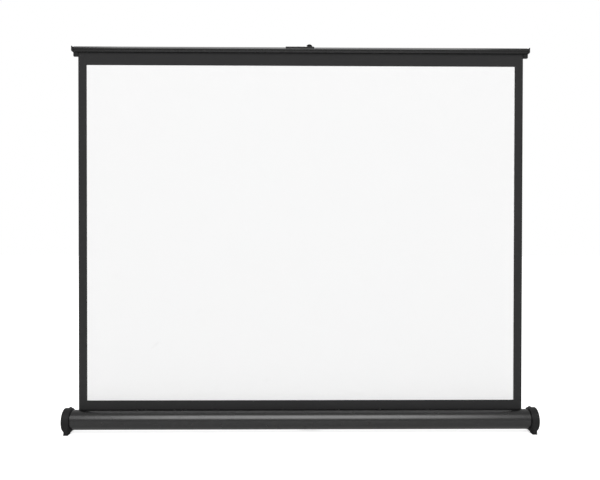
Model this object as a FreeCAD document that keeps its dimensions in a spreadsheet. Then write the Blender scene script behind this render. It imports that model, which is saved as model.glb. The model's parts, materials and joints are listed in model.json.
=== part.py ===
import FreeCAD, Part

import math
import os

import Sketcher

# A table-top pull-up projection screen. A round housing lies on two end caps with feet. The
# screen comes out of a slot in the housing and hangs from a rail that a two-part arm behind
# it holds up. X runs along the housing, +Y to the rear, +Z up, with the floor at Z = 0.

# Driving sizes in millimetres, and angles in degrees.
SIZES = {
    # Screen
    "view_width": 1016,
    "view_height": 795,
    "side_border": 20,
    "top_border": 30.7,
    "view_bottom_height": 73,
    "screen_plane": 13,
    "backing_thickness": 0.25,
    "coating_thickness": 0.15,
    # Housing tube
    "tube_radius": 23,
    "tube_wall": 1.6,
    "tube_overhang": 18,
    "ground_gap": 7.5,
    "slot_front": 7.5,
    "slot_rear": 19,
    "lip_bead_radius": 1.2,
    "port_radius": 2.2,
    "port_sink": 0.6,
    "port_bore_radius": 1.25,
    "port_angle": 58,
    # End caps
    "cap_wall": 4.5,
    "cap_length": 18,
    "cap_overlap": 6,
    "cap_cover_thickness": 4,
    "cap_cover_edge_radius": 2.2,
    "cap_cover_groove": 0.6,
    "cap_cover_peg_radius": 1.5,
    "cap_cover_peg_length": 4,
    "cap_cover_peg_spread": 14,
    "cap_cover_peg_rise": 11,
    "axle_hole_floor": 2,
    "cap_boss_radius": 10,
    "ear_radius": 4.5,
    "ear_rise": 0.2,
    "ear_width": 12,
    "ear_inset": 6.8,
    "ear_back": 6,
    "ear_ring_radius": 2.8,
    "ear_ring_depth": 0.8,
    "ear_stud_radius": 1.4,
    # Front feet
    "foot_front": 24,
    "foot_rear": 4,
    "foot_inset": 2,
    "foot_width": 9.5,
    "foot_skirt": 6.5,
    "foot_skirt_height": 8,
    "foot_skirt_depth": 4,
    "pad_thickness": 3.5,
    "pad_margin": 0.8,
    # Rear legs
    "leg_reach": 115,
    "leg_pivot_back": 12,
    "leg_pivot_inset": 8.5,
    "leg_hub_radius": 8.5,
    "leg_boss_radius": 4.4,
    "leg_tip_radius": 6,
    "leg_thickness": 4.5,
    "leg_pad_thickness": 2.4,
    "leg_pad_radius": 5,
    "leg_screw_radius": 3,
    "leg_screw_head_radius": 5,
    "leg_screw_head": 1.7,
    "leg_screw_grip": 3.5,
    # Roller and its spring
    "roller_radius": 12,
    "roller_wall": 1.2,
    "wrap_thickness": 0.5,
    "roller_plug_length": 16,
    "roller_flange": 1.5,
    "roller_end_gap": 2.5,
    "axle_radius": 3,
    "axle_root_radius": 5,
    "spring_outer_radius": 8,
    "spring_inner_radius": 4,
    "spring_length": 250,
    "spring_start": 34,
    "spring_anchor_length": 14,
    "spring_axle_overhang": 7.7,
    # Top rail
    "rail_width": 17,
    "rail_setback": 4.5,
    "rail_height": 12.5,
    "rail_shoulder": 8.6,
    "rail_lean": 0.95,
    "rail_overhang": 9.5,
    "rail_wall": 1.5,
    "rail_core_width": 7.4,
    "rail_groove_depth": 1.2,
    "rail_groove_height": 3.2,
    "rail_bead_height": 2.8,
    "web_back": 0.9,
    "web_thickness": 4.5,
    "web_height": 10,
    "rail_cap_length": 6.5,
    "rail_cap_tip_rise": 1.6,
    "rail_cap_tip_width": 1.4,
    "rail_cap_slope_width": 2.1,
    "rail_cap_dip": 0.8,
    "rail_cap_corner": 4.5,
    "rail_cap_plug": 12,
    "rail_cap_block_overhang": 1.6,
    "rail_cap_block_front": 2,
    "rail_cap_block_root": 3,
    "spline_radius": 1.5,
    "spline_slot": 1.2,
    "spline_height": 5.6,
    "spline_bore_clearance": 0.25,
    # Folding arm
    "arm_place": 19,
    "arm_width": 16,
    "arm_thickness": 5,
    "arm_hole_radius": 4,
    "arm_groove_width": 7,
    "arm_groove_depth": 1.2,
    "arm_groove_margin": 26,
    "top_pivot_rise": 18,
    "base_pivot_rise": 16.4,
    "base_washer_thickness": 0.8,
    "washer_thickness": 0.4,
    "washer_radius": 7,
    "pin_head_radius": 6,
    "pin_head": 1.5,
    # Brackets
    "base_bracket_width": 46,
    "base_bracket_drop": 14,
    "base_bracket_block_top": 6.5,
    "base_plate_gap": 0.4,
    "base_plate_thickness": 3,
    "bracket_screw_radius": 1.5,
    "bracket_screw_head_radius": 3,
    "bracket_screw_head": 0.7,
    "bracket_screw_reach": 4.8,
    "bracket_screw_spread": 16,
    "bracket_screw_low": 9,
    "bracket_screw_high": 1,
    "saddle_left": 37.5,
    "saddle_right": 30,
    "saddle_thickness": 1.5,
    "saddle_lip": 1.9,
    "ear_plate_thickness": 2,
    "ear_plate_left": 8,
    "ear_plate_foot": 3,
    "rivet_radius": 2.6,
    "rivet_head": 1.9,
    "rivet_shank_radius": 1.3,
    "rivet_depth": 3.6,
    "rivet_setback": 4.3,
    "rivet_left": 7.9,
    "rivet_right": 12,
    # End cap screws
    "cap_screw_head_radius": 3.2,
    "cap_screw_head": 1.8,
    "cap_screw_length": 30,
    # Clearances
    "running_clearance": 0.05,
    "fit_clearance": 0.1,
    "gap": 0.3,
    "cut_overrun": 2,
}

# How far a lip bead's middle lies from the slot's edge, as a share of the bead's radius.
lip_bead_share = 0.6

# Two places closer than this, in millimetres, count as one.
same_place = 1e-4


class Size:
    """A length that knows its number and the formula that gives it from the sheet."""

    def __init__(self, value, formula):
        self.value = value
        self.formula = formula

    def __add__(self, other):
        return Size(self.value + other.value, f"({self.formula} + {other.formula})")

    def __sub__(self, other):
        return Size(self.value - other.value, f"({self.formula} - {other.formula})")

    def __neg__(self):
        return Size(-self.value, f"(0 - {self.formula})")

    def __mul__(self, share):
        return Size(self.value * share, f"({self.formula} * {share})")

    def __truediv__(self, share):
        return Size(self.value / share, f"({self.formula} / {share})")


class Sizes:
    """The driving sizes, each under its own name."""


class Corner:
    """A corner of an outline. With a centre, the edge that leads to it is an arc."""

    def __init__(self, x, y, centre=None, turn=1):
        self.x = x
        self.y = y
        self.centre = centre
        self.turn = turn


class Disc:
    """A round outline."""

    def __init__(self, x, y, radius):
        self.x = x
        self.y = y
        self.radius = radius


doc = FreeCAD.newDocument("projection_screen")
sheet = doc.addObject("Spreadsheet::Sheet", "Sizes")
size = Sizes()
for row, (alias, number) in enumerate(SIZES.items(), start=1):
    sheet.set(f"A{row}", str(number))
    sheet.setAlias(f"A{row}", alias)
    setattr(size, alias, Size(number, f"Sizes.{alias}"))
doc.recompute()

ZERO = Size(0, "0")
NODES = []


def side_of_triangle(longest, other):
    """The third side of a right triangle."""
    value = math.sqrt(longest.value ** 2 - other.value ** 2)
    return Size(value, f"sqrt({longest.formula} * {longest.formula} - {other.formula} * {other.formula})")


def cosine(length, angle):
    """The length times the cosine of a sheet angle."""
    value = length.value * math.cos(math.radians(angle.value))
    return Size(value, f"({length.formula} * cos({angle.formula}))")


def sine(length, angle):
    """The length times the sine of a sheet angle."""
    value = length.value * math.sin(math.radians(angle.value))
    return Size(value, f"({length.formula} * sin({angle.formula}))")


def part_of(length, piece, whole):
    """What a piece of the whole takes of a length that runs evenly over the whole."""
    value = length.value * piece.value / whole.value
    return Size(value, f"({length.formula} * {piece.formula} / {whole.formula})")


def flipped(length, side):
    """The length on the right side (side 1), or its mirror image on the left (side -1)."""
    return length if side > 0 else -length


def corners(*points):
    """An outline of straight edges."""
    return [Corner(x, y) for x, y in points]


def rectangle(x_low, y_low, x_high, y_high):
    """A rectangular outline."""
    return corners((x_low, y_low), (x_high, y_low), (x_high, y_high), (x_low, y_high))


def bind(thing, name, length):
    """Ties a property to the sheet."""
    thing.setExpression(name, length.formula)


def place(thing, x=ZERO, y=ZERO, z=ZERO):
    """Ties an object's place to the sheet."""
    bind(thing, "Placement.Base.x", x)
    bind(thing, "Placement.Base.y", y)
    bind(thing, "Placement.Base.z", z)


def keep(thing, name):
    """Names a finished sub-part."""
    thing.Label = name
    NODES.append(thing)
    return thing


def arc_between(start, end, centre, turn):
    """The arc from start to end, counter-clockwise when turn is 1."""
    middle = FreeCAD.Vector(centre[0].value, centre[1].value, 0)
    first, last = (start, end) if turn > 0 else (end, start)
    spokes = [FreeCAD.Vector(corner.x.value, corner.y.value, 0) - middle for corner in (first, last)]
    angles = [math.atan2(spoke.y, spoke.x) for spoke in spokes]
    circle = Part.Circle(middle, FreeCAD.Vector(0, 0, 1), spokes[0].Length)
    return Part.ArcOfCircle(circle, angles[0], angles[1])


def fix_point(sketch, edge, point, x, y):
    """Holds a point of an edge at a place given by the sheet. Either place may be left open."""
    for kind, length in (("DistanceX", x), ("DistanceY", y)):
        if length is not None:
            rule = sketch.addConstraint(Sketcher.Constraint(kind, -1, 1, edge, point, length.value))
            sketch.setExpression(f"Constraints[{rule}]", length.formula)


def draw_disc(sketch, disc):
    """Draws a circle with its centre and radius tied to the sheet."""
    middle = FreeCAD.Vector(disc.x.value, disc.y.value, 0)
    circle = Part.Circle(middle, FreeCAD.Vector(0, 0, 1), disc.radius.value)
    edge = sketch.addGeometry(circle, False)
    fix_point(sketch, edge, 3, disc.x, disc.y)
    rule = sketch.addConstraint(Sketcher.Constraint("Radius", edge, disc.radius.value))
    sketch.setExpression(f"Constraints[{rule}]", disc.radius.formula)


def draw_outline(sketch, outline):
    """Draws a closed outline of lines and arcs with every corner tied to the sheet."""
    edges = []
    for start, end in zip(outline[-1:] + outline[:-1], outline):
        if end.centre:
            shape = arc_between(start, end, end.centre, end.turn)
        else:
            first = FreeCAD.Vector(start.x.value, start.y.value, 0)
            shape = Part.LineSegment(first, FreeCAD.Vector(end.x.value, end.y.value, 0))
        edges.append(sketch.addGeometry(shape, False))
    backward = [bool(corner.centre) and corner.turn < 0 for corner in outline]
    for index, corner in enumerate(outline):
        following = (index + 1) % len(outline)
        end_point = 1 if backward[index] else 2
        start_point = 2 if backward[following] else 1
        sketch.addConstraint(
            Sketcher.Constraint("Coincident", edges[index], end_point, edges[following], start_point))
        fix_point(sketch, edges[index], end_point, corner.x, corner.y)
    for index, corner in enumerate(outline):
        if corner.centre:
            before = outline[index - 1]
            flat = abs(corner.x.value - before.x.value) >= abs(corner.y.value - before.y.value)
            x, y = corner.centre
            fix_point(sketch, edges[index], 3, None if flat else x, y if flat else None)


def add_sketch(body, name, plane, offset, outlines):
    """A sketch on one of the body's own planes, moved off it by the offset."""
    sketch = body.newObject("Sketcher::SketchObject", name)
    planes = [thing for thing in body.Origin.OriginFeatures if thing.Role == plane + "_Plane"]
    sketch.AttachmentSupport = [(planes[0], "")]
    sketch.MapMode = "FlatFace"
    bind(sketch, "AttachmentOffset.Base.z", -offset if plane == "XZ" else offset)
    for outline in outlines:
        if isinstance(outline, Disc):
            draw_disc(sketch, outline)
        else:
            draw_outline(sketch, outline)
    return sketch


class Piece:
    """A body that is built up from outlines pushed out along one of its axes."""

    def __init__(self, name, x=ZERO, y=ZERO, z=ZERO):
        self.name = name
        self.body = doc.addObject("PartDesign::Body", name)
        self.steps = 0
        place(self.body, x, y, z)

    def step(self, kind, plane, start, end, outlines):
        """Adds or cuts what the outlines sweep between two places along the plane's normal."""
        self.steps += 1
        sketch = add_sketch(self.body, f"{self.name}_sketch_{self.steps}", plane, (start + end) / 2, outlines)
        feature = self.body.newObject(f"PartDesign::{kind}", f"{self.name}_{kind}_{self.steps}")
        feature.Profile = sketch
        feature.Midplane = True
        bind(feature, "Length", end - start if end.value > start.value else start - end)
        return feature

    def add(self, plane, start, end, *outlines):
        """Adds material."""
        return self.step("Pad", plane, start, end, outlines)

    def cut(self, plane, start, end, *outlines):
        """Cuts material away, and makes sure that some went."""
        doc.recompute()
        before = self.body.Shape.Volume
        feature = self.step("Pocket", plane, start, end, outlines)
        doc.recompute()
        if self.body.Shape.Volume >= before:
            raise RuntimeError(f"{feature.Label} cuts nothing")
        return feature

    def turn(self, axis, outline):
        """Turns an outline about an axis: (along, radius) about X, (radius, along) about Y or Z."""
        self.steps += 1
        plane = "XY" if axis == "Y" else "XZ"
        sketch = add_sketch(self.body, f"{self.name}_sketch_{self.steps}", plane, ZERO, [outline])
        feature = self.body.newObject("PartDesign::Revolution", f"{self.name}_turned_{self.steps}")
        feature.Profile = sketch
        feature.ReferenceAxis = (sketch, ["H_Axis" if axis == "X" else "V_Axis"])
        feature.Angle = 360
        return feature

    def round_edges(self, radius, chosen):
        """Rounds the edges that the given test picks."""
        doc.recompute()
        tip = self.body.Tip
        names = [f"Edge{number}" for number, edge in enumerate(tip.Shape.Edges, start=1) if chosen(edge)]
        feature = self.body.newObject("PartDesign::Fillet", f"{self.name}_rounding_{self.steps}")
        feature.Base = (tip, names)
        bind(feature, "Radius", radius)
        return feature

    def finish(self):
        """Keeps the body as a sub-part."""
        return keep(self.body, self.name)


def turned_piece(name, axis, sections, bore=None, x=ZERO, y=ZERO, z=ZERO):
    """A body turned about an axis. The sections are (start, end, radius), in order along it."""
    piece = Piece(name, x, y, z)
    inner = bore or ZERO
    path = [(sections[0][0], inner)]
    for start, end, radius in sections:
        path += [(start, radius), (end, radius)]
    path.append((sections[-1][1], inner))
    if axis != "X":
        path = [(radius, along) for along, radius in path]
    piece.turn(axis, corners(*path))
    return piece


def on_side(sections, side):
    """Sections along X as they are on the right (side 1), or as their mirror image on the left."""
    if side > 0:
        return sections
    return [(-end, -start, radius) for start, end, radius in reversed(sections)]


def group(name, bodies):
    """One node that holds several like pieces."""
    compound = doc.addObject("Part::Compound", name + "_group")
    compound.Links = bodies
    return keep(compound, name)


# Places that several pieces share, counted from the housing's axis.
cap_radius = size.tube_radius + size.cap_wall
axis_y = (cap_radius - size.leg_reach) / 2
axis_z = size.ground_gap + size.tube_radius
floor = -axis_z
tube_inner = size.tube_radius - size.tube_wall
screen_half_width = size.view_width / 2 + size.side_border
tube_half_length = screen_half_width + size.tube_overhang
rail_half_length = screen_half_width + size.rail_overhang
cap_rim = tube_half_length - size.cap_overlap
cap_face = cap_rim + size.cap_length
cap_seat = cap_face - size.cap_cover_thickness
foot_outer = cap_seat - size.foot_inset
foot_inner = foot_outer - size.foot_width
axle_end = cap_seat - size.axle_hole_floor
port_reach = tube_inner - size.port_radius + size.port_sink
port_y = cosine(port_reach, size.port_angle)
port_z = -sine(port_reach, size.port_angle)
rail_z = size.view_bottom_height + size.view_height + size.top_border
rail_y = axis_y + size.screen_plane + size.rail_setback
view_bottom = size.view_bottom_height - axis_z
top_pivot = rail_z + size.top_pivot_rise - axis_z
base_pivot = size.base_pivot_rise
arm_length = (top_pivot - base_pivot) / 2
knee_pivot = base_pivot + arm_length
base_plate_front = size.tube_radius + size.base_plate_gap
base_plate_rear = base_plate_front + size.base_plate_thickness
lower_layer = base_plate_rear + size.base_washer_thickness + size.gap
upper_layer = lower_layer + size.arm_thickness + size.washer_thickness
arm_rear = upper_layer + size.arm_thickness
leg_top = size.leg_pad_thickness + size.leg_thickness + floor
leg_roof = leg_top + size.gap


def housing_tube():
    """The long aluminium tube with its screen slot and its screw ports."""
    piece = Piece("housing_tube", ZERO, axis_y, axis_z)
    half = tube_half_length
    piece.add("YZ", -half, half, Disc(ZERO, ZERO, size.tube_radius), Disc(ZERO, ZERO, tube_inner))
    wall_middle = size.tube_radius - size.tube_wall / 2
    bead_end = cap_rim - size.gap
    bead_inset = size.lip_bead_radius * lip_bead_share
    for bead_y in (size.slot_front - bead_inset, size.slot_rear + bead_inset):
        bead_z = side_of_triangle(wall_middle, bead_y)
        piece.add("YZ", -bead_end, bead_end, Disc(bead_y, bead_z, size.lip_bead_radius))
    for sign in (-1, 1):
        port = Disc(flipped(port_y, sign), port_z, size.port_radius)
        piece.add("YZ", -half, half, port)
        piece.cut("YZ", -half, half, Disc(port.x, port.y, size.port_bore_radius))
    opening = rectangle(size.slot_front, ZERO, size.slot_rear, size.tube_radius + size.cut_overrun)
    piece.cut("YZ", -half, half, opening)
    for x, z in bracket_screw_places():
        hole = Disc(x, z, size.bracket_screw_radius + size.fit_clearance)
        piece.cut("XZ", size.screen_plane, size.tube_radius + size.cut_overrun, hole)
    return piece.finish()


def bracket_screw_places():
    """The four screws that hold the arm's base bracket, two above and two below."""
    places = []
    for z in (-size.bracket_screw_low, size.bracket_screw_high):
        for sign in (-1, 1):
            places.append((size.arm_place + flipped(size.bracket_screw_spread, sign), z))
    return places


def end_cap(side, name):
    """A moulded end cap with its front foot, the boss of its rear leg and the ear beside the slot."""
    def out(length):
        return flipped(length, side)

    piece = Piece(name, ZERO, axis_y, axis_z)
    skirt = cap_rim - size.foot_skirt
    sole = floor + size.pad_thickness
    top = -size.cap_boss_radius
    front = -size.foot_front
    rear = -size.foot_rear
    piece.add("XY", sole, top, rectangle(out(foot_inner), front, out(foot_outer), rear))
    web = corners(
        (out(foot_inner), front), (out(skirt), rear - size.foot_skirt_depth), (out(skirt), rear),
        (out(foot_inner), rear))
    piece.add("XY", sole, top, web)
    below_web = corners((out(foot_inner), sole), (out(skirt), sole), (out(skirt), sole + size.foot_skirt_height))
    piece.cut("XZ", front, rear, below_web)

    piece.add("YZ", out(cap_rim), out(cap_seat), Disc(ZERO, ZERO, cap_radius))
    piece.round_edges(size.cap_cover_groove, lambda edge: lies_at(edge, out(cap_seat)))
    below_sole = rectangle(out(cap_rim - size.cut_overrun), -cap_radius, out(cap_face), cap_radius)
    piece.cut("XY", floor, sole, below_sole)

    ear_z = cap_radius + size.ear_rise - size.ear_radius
    ear_front = size.ear_back - size.ear_width / 2
    ear_x = out(cap_rim + size.ear_inset)
    piece.add("XZ", ear_front, ear_front + size.ear_width, Disc(ear_x, ear_z, size.ear_radius))
    piece.cut("XZ", ear_front, ear_front + size.ear_ring_depth, Disc(ear_x, ear_z, size.ear_ring_radius))
    piece.add("XZ", ear_front, ear_front + size.ear_ring_depth, Disc(ear_x, ear_z, size.ear_stud_radius))

    leg_x = cap_face - size.leg_pivot_inset
    piece.cut("XY", floor, leg_roof, leg_room(side))
    piece.add("XY", leg_roof, top, Disc(out(leg_x), size.leg_pivot_back, size.leg_boss_radius))

    cup = Disc(ZERO, ZERO, size.tube_radius + size.fit_clearance)
    piece.cut("YZ", out(skirt - size.cut_overrun), out(tube_half_length), cup)
    boss_start = screen_half_width + size.roller_flange + size.roller_end_gap
    piece.add("YZ", out(boss_start), out(tube_half_length), Disc(ZERO, ZERO, size.cap_boss_radius))
    bore = size.axle_root_radius + size.running_clearance
    piece.cut("YZ", out(boss_start), out(axle_end), Disc(ZERO, ZERO, bore))
    leg_bore = Disc(out(leg_x), size.leg_pivot_back, size.leg_screw_radius + size.running_clearance)
    piece.cut("XY", floor, leg_roof + size.leg_screw_grip, leg_bore)
    for sign in (-1, 1):
        port = flipped(port_y, sign)
        shank = Disc(port, port_z, size.port_bore_radius)
        piece.cut("YZ", out(tube_half_length), out(cap_seat), shank)
        head = Disc(port, port_z, size.cap_screw_head_radius + size.fit_clearance)
        piece.cut("YZ", out(cap_seat - size.cap_screw_head - size.gap), out(cap_seat), head)
        hole = peg(sign, size.fit_clearance)
        piece.cut("YZ", out(cap_seat - size.cap_cover_peg_length - size.gap), out(cap_seat), hole)
    return piece.finish()


def lies_at(edge, x):
    """Whether an edge lies all in one plane across X."""
    box = edge.BoundBox
    return abs(box.XMin - x.value) < same_place and abs(box.XMax - x.value) < same_place


def peg(sign, clearance):
    """The outline of one of the two pegs of an end cap's cover."""
    radius = size.cap_cover_peg_radius + clearance
    return Disc(flipped(size.cap_cover_peg_spread, sign), size.cap_cover_peg_rise, radius)


def end_cap_cover(side, name):
    """The round cover that snaps over an end cap's screws."""
    def out(length):
        return flipped(length, side)

    piece = Piece(name, ZERO, axis_y, axis_z)
    piece.add("YZ", out(cap_seat), out(cap_face), Disc(ZERO, ZERO, cap_radius))
    piece.round_edges(size.cap_cover_edge_radius, lambda edge: lies_at(edge, out(cap_face)))
    piece.round_edges(size.cap_cover_groove, lambda edge: lies_at(edge, out(cap_seat)))
    piece.cut("XY", floor, leg_roof, leg_room(side))
    for sign in (-1, 1):
        piece.add("YZ", out(cap_seat - size.cap_cover_peg_length), out(cap_seat), peg(sign, ZERO))
    return piece.finish()


def leg_room(side):
    """The outline of the room that a rear leg needs under its end cap, seen from above."""
    near = cap_rim - size.foot_skirt - size.cut_overrun
    far = cap_face + size.cut_overrun
    rear = cap_radius + size.cut_overrun
    return rectangle(flipped(near, side), -size.gap, flipped(far, side), rear)


def front_pad(side, name):
    """The rubber pad under a front foot."""
    outer = foot_outer + size.pad_margin
    inner = foot_inner - size.pad_margin
    sole = rectangle(flipped(inner, side), -size.foot_front, flipped(outer, side), -size.foot_rear)
    piece = Piece(name, ZERO, axis_y, ZERO)
    piece.add("XY", ZERO, size.pad_thickness, sole)
    piece.round_edges(size.pad_margin, lambda edge: edge.BoundBox.ZLength > size.pad_thickness.value / 2)
    return piece.finish()


def end_cap_screws():
    """Four screws that hold the end caps in the tube's screw ports."""
    screws = []
    for side in (-1, 1):
        for sign in (-1, 1):
            seat = cap_seat - size.cap_screw_head - size.gap
            sections = [
                (seat - size.cap_screw_length, seat, size.port_bore_radius - size.running_clearance),
                (seat, seat + size.cap_screw_head, size.cap_screw_head_radius)]
            name = f"cap_screw_{len(screws) + 1}"
            y = axis_y + flipped(port_y, sign)
            screws.append(turned_piece(name, "X", on_side(sections, side), None, ZERO, y, axis_z + port_z).body)
    return group("end_cap_screws", screws)


def rear_leg(side, name):
    """A flat leg that swings out to the rear from under an end cap."""
    leg_x = flipped(cap_face - size.leg_pivot_inset, side)
    piece = Piece(name, leg_x, axis_y + size.leg_pivot_back, ZERO)
    reach = size.leg_reach - size.leg_pivot_back - size.leg_tip_radius
    hub = size.leg_hub_radius
    tip = size.leg_tip_radius
    outline = [
        Corner(-hub, ZERO, (ZERO, ZERO), -1), Corner(-tip, reach), Corner(tip, reach, (ZERO, reach), -1),
        Corner(hub, ZERO)]
    bottom = size.leg_pad_thickness
    piece.add("XY", bottom, bottom + size.leg_thickness, outline)
    piece.cut("XY", bottom, bottom + size.leg_thickness,
              Disc(ZERO, ZERO, size.leg_screw_radius + size.running_clearance))
    piece.cut("XY", bottom, bottom + size.leg_screw_head + size.gap,
              Disc(ZERO, ZERO, size.leg_screw_head_radius + size.gap))
    return piece.finish()


def leg_pad(side, name):
    """The round rubber pad under the tip of a rear leg."""
    leg_x = flipped(cap_face - size.leg_pivot_inset, side)
    tip_y = axis_y + size.leg_reach - size.leg_tip_radius
    sections = [(ZERO, size.leg_pad_thickness, size.leg_pad_radius)]
    return turned_piece(name, "Z", sections, None, leg_x, tip_y, ZERO).finish()


def leg_screw(side, name):
    """The shoulder screw that a rear leg turns on."""
    leg_x = flipped(cap_face - size.leg_pivot_inset, side)
    bottom = size.leg_pad_thickness
    top = axis_z + leg_top + size.leg_screw_grip
    sections = [
        (bottom, bottom + size.leg_screw_head, size.leg_screw_head_radius),
        (bottom + size.leg_screw_head, top, size.leg_screw_radius)]
    return turned_piece(name, "Z", sections, None, leg_x, axis_y + size.leg_pivot_back, ZERO).finish()


def roller_parts():
    """The roller, its end plugs, the last turns of the screen on it, and its axles and spring."""
    half = screen_half_width
    inner = size.roller_radius - size.roller_wall
    turned_piece("roller_tube", "X", [(-half, half, size.roller_radius)], inner, ZERO, axis_y, axis_z).finish()
    wrap_inner = size.roller_radius + size.running_clearance
    wrap_outer = size.roller_radius + size.wrap_thickness
    turned_piece("screen_wraps", "X", [(-half, half, wrap_outer)], wrap_inner, ZERO, axis_y, axis_z).finish()

    bore = size.axle_radius + size.running_clearance
    for side, name in ((-1, "roller_plug_left"), (1, "roller_plug_right")):
        sections = [
            (half - size.roller_plug_length, half, inner - size.running_clearance),
            (half, half + size.roller_flange, size.roller_radius)]
        turned_piece(name, "X", on_side(sections, side), bore, ZERO, axis_y, axis_z).finish()

    root_end = axle_end
    root_start = half + size.roller_flange + size.gap
    idle = [
        (half - size.roller_plug_length, root_start, size.axle_radius),
        (root_start, root_end, size.axle_root_radius)]
    turned_piece("idle_axle", "X", idle, None, ZERO, axis_y, axis_z).finish()

    spring_outer_end = half - size.spring_start
    coil = [(-spring_outer_end, size.spring_length - spring_outer_end, size.spring_outer_radius)]
    turned_piece("roller_spring", "X", coil, size.spring_inner_radius, ZERO, axis_y, axis_z).finish()
    anchor_start = size.spring_length - spring_outer_end + size.gap
    anchor_end = anchor_start + size.spring_anchor_length
    anchor = [(anchor_start, anchor_end, inner - size.running_clearance)]
    turned_piece("spring_anchor", "X", anchor, bore, ZERO, axis_y, axis_z).finish()
    live = [
        (-root_end, -root_start, size.axle_root_radius),
        (-root_start, anchor_end + size.spring_axle_overhang, size.axle_radius)]
    turned_piece("spring_axle", "X", live, None, ZERO, axis_y, axis_z).finish()
    collar_end = -(half - size.roller_plug_length - size.gap)
    collar = [(collar_end, -spring_outer_end - size.gap, size.spring_outer_radius)]
    turned_piece("spring_collar", "X", collar, bore, ZERO, axis_y, axis_z).finish()


def screen_parts():
    """The screen as its three bonded layers: black backing, white surface and black border."""
    back = size.screen_plane
    front = back - size.coating_thickness
    half_width = screen_half_width
    half_view = size.view_width / 2
    view_top = view_bottom + size.view_height
    edge = rail_z - axis_z + size.spline_height - size.spline_radius - size.fit_clearance
    sheet_outline = rectangle(-half_width, ZERO, half_width, edge)
    view = rectangle(-half_view, view_bottom, half_view, view_top)

    backing = Piece("screen_backing", ZERO, axis_y, axis_z)
    backing.add("XZ", back, back + size.backing_thickness, sheet_outline)
    backing.finish()
    surface = Piece("viewing_surface", ZERO, axis_y, axis_z)
    surface.add("XZ", front, back, view)
    surface.finish()
    border = Piece("screen_border", ZERO, axis_y, axis_z)
    border.add("XZ", front, back, sheet_outline)
    border.cut("XZ", front, back, view)
    border.finish()


def rail_outline():
    """The top rail's section, about the middle of its underside."""
    half = size.rail_width / 2
    low = ZERO
    high = size.rail_height
    lean = size.rail_lean
    shoulder = size.rail_shoulder
    groove_low = size.rail_bead_height
    groove_high = groove_low + size.rail_groove_height
    groove = half - size.rail_groove_depth
    return corners(
        (-half, low), (half, low), (half, groove_low), (groove, groove_low), (groove, groove_high),
        (half, groove_high), (half, shoulder), (half - lean, high), (lean - half, high), (-half, shoulder),
        (-half, groove_high), (-groove, groove_high), (-groove, groove_low), (-half, groove_low))


def rail_chamber():
    """The rail's hollow chamber, behind its solid front part."""
    near = size.rail_core_width - size.rail_width / 2
    far = size.rail_width / 2 - size.rail_groove_depth - size.rail_wall
    low = size.rail_wall
    high = size.rail_height - size.rail_wall
    return corners((near, low), (far, low), (far, size.rail_shoulder), (far - size.rail_lean, high), (near, high))


def rail_profile():
    """The aluminium top rail: a chamber, a spline groove and a web behind the screen."""
    piece = Piece("rail_profile", ZERO, rail_y, rail_z)
    half = rail_half_length
    piece.add("YZ", -half, half, rail_outline())
    web_half = screen_half_width + size.gap
    web_front = size.web_back - size.rail_setback
    web = rectangle(web_front, -size.web_height, web_front + size.web_thickness, size.rail_wall)
    piece.add("YZ", -web_half, web_half, web)
    piece.cut("YZ", -half, half, rail_chamber())
    groove = Disc(-size.rail_setback, size.spline_height, size.spline_radius + size.spline_bore_clearance)
    piece.cut("YZ", -half, half, groove)
    slot_front = -size.rail_setback - size.spline_slot / 2
    slot = rectangle(slot_front, -size.cut_overrun, slot_front + size.spline_slot, size.spline_height)
    piece.cut("YZ", -half, half, slot)
    for x, y in rivet_places():
        hole = Disc(x, y, size.rivet_shank_radius)
        piece.cut("XY", size.rail_height - size.rivet_depth, size.rail_height, hole)
    return piece.finish()


def rivet_places():
    """The two rivets sit over the rail's solid front part."""
    y = size.rivet_setback - size.rail_width / 2
    return [(-size.rivet_left, y), (size.rivet_right, y)]


def rail_cap(side, name):
    """A plastic cap on the rail's end, with a raised tip and a block that hides the screen's edge."""
    def out(length):
        return flipped(length, side)

    piece = Piece(name, ZERO, rail_y, rail_z)
    near = rail_half_length
    far = near + size.rail_cap_length
    corner = size.rail_cap_corner
    dip = size.rail_height - size.rail_cap_dip
    tip = size.rail_height + size.rail_cap_tip_rise
    half = size.rail_width / 2
    tip_inner = far - size.rail_cap_tip_width
    plate = [
        Corner(out(near), ZERO), Corner(out(far - corner), ZERO),
        Corner(out(far), corner, (out(far - corner), corner), side), Corner(out(far), tip),
        Corner(out(tip_inner), tip), Corner(out(tip_inner - size.rail_cap_slope_width), dip),
        Corner(out(near), dip)]
    piece.add("XZ", -half, half, plate)
    piece.round_edges(size.rail_cap_tip_width, lambda edge: edge.BoundBox.ZLength > corner.value
                      and edge.BoundBox.YLength < same_place and lies_at(edge, out(far)))

    block_front = -size.rail_setback - size.rail_cap_block_front
    block_rear = size.web_back + size.web_thickness - size.rail_setback
    block_inner = screen_half_width + size.gap * 2
    block_outer = near + size.rail_cap_block_overhang
    piece.add("YZ", out(block_inner), out(near), rectangle(block_front, -size.web_height, block_rear, ZERO))
    block = rectangle(block_front, -size.web_height, block_rear, size.rail_cap_block_root)
    piece.add("YZ", out(near), out(block_outer), block)

    clearance = size.fit_clearance
    low = size.rail_wall + clearance
    inner = size.rail_core_width - half + clearance
    outer = half - size.rail_groove_depth - size.rail_wall - clearance
    start = near - size.rail_cap_plug
    piece.add("YZ", out(start), out(near), rectangle(inner, low, outer, size.rail_shoulder))
    return piece.finish()


def screen_spline():
    """The plastic rod that locks the screen's top edge in the rail."""
    half = screen_half_width
    rod = [(-half, half, size.spline_radius)]
    y = axis_y + size.screen_plane
    return turned_piece("screen_spline", "X", rod, None, ZERO, y, rail_z + size.spline_height).finish()


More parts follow.
